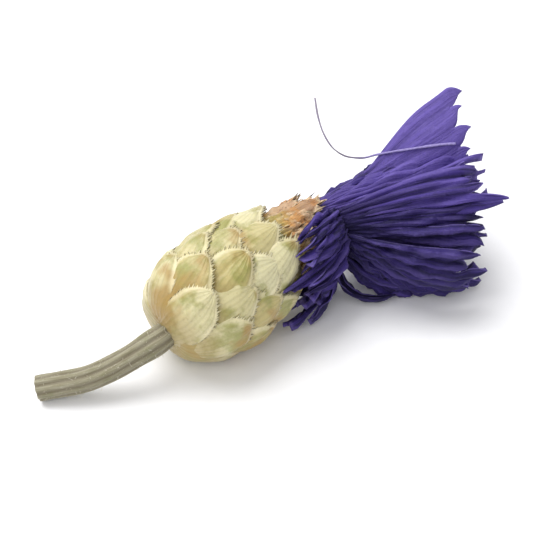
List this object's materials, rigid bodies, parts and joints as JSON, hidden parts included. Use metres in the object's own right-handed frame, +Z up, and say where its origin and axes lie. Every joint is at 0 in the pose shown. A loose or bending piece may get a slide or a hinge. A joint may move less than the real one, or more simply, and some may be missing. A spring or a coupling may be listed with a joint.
{
  "type": "dried cornflower head",
  "caption": "Dried cornflower head lying on its side: an egg-shaped cup of overlapping bracts on a short cut stalk, and a brush of lobed violet-blue florets.",
  "frame": {"origin": "on the surface that the head lies on, in the flat spot under the widest part of the involucre", "axes": "+X from the cut end of the stalk towards the tips of the florets, +Z up from the surface, +Y to the side that the involucre leans to"},
  "size_m": [0.0337, 0.0127, 0.0118],
  "materials": {
    "stalk": "matte",
    "involucre": "matte",
    "inner_bracts": "matte",
    "ray_florets": "matte",
    "disc_florets": "matte"
  },
  "bodies": {
    "root": {"stalk": "stalk", "involucre": "involucre", "inner_bracts": "inner_bracts", "ray_florets": "ray_florets", "disc_florets": "disc_florets"}
  },
  "joints": []
}
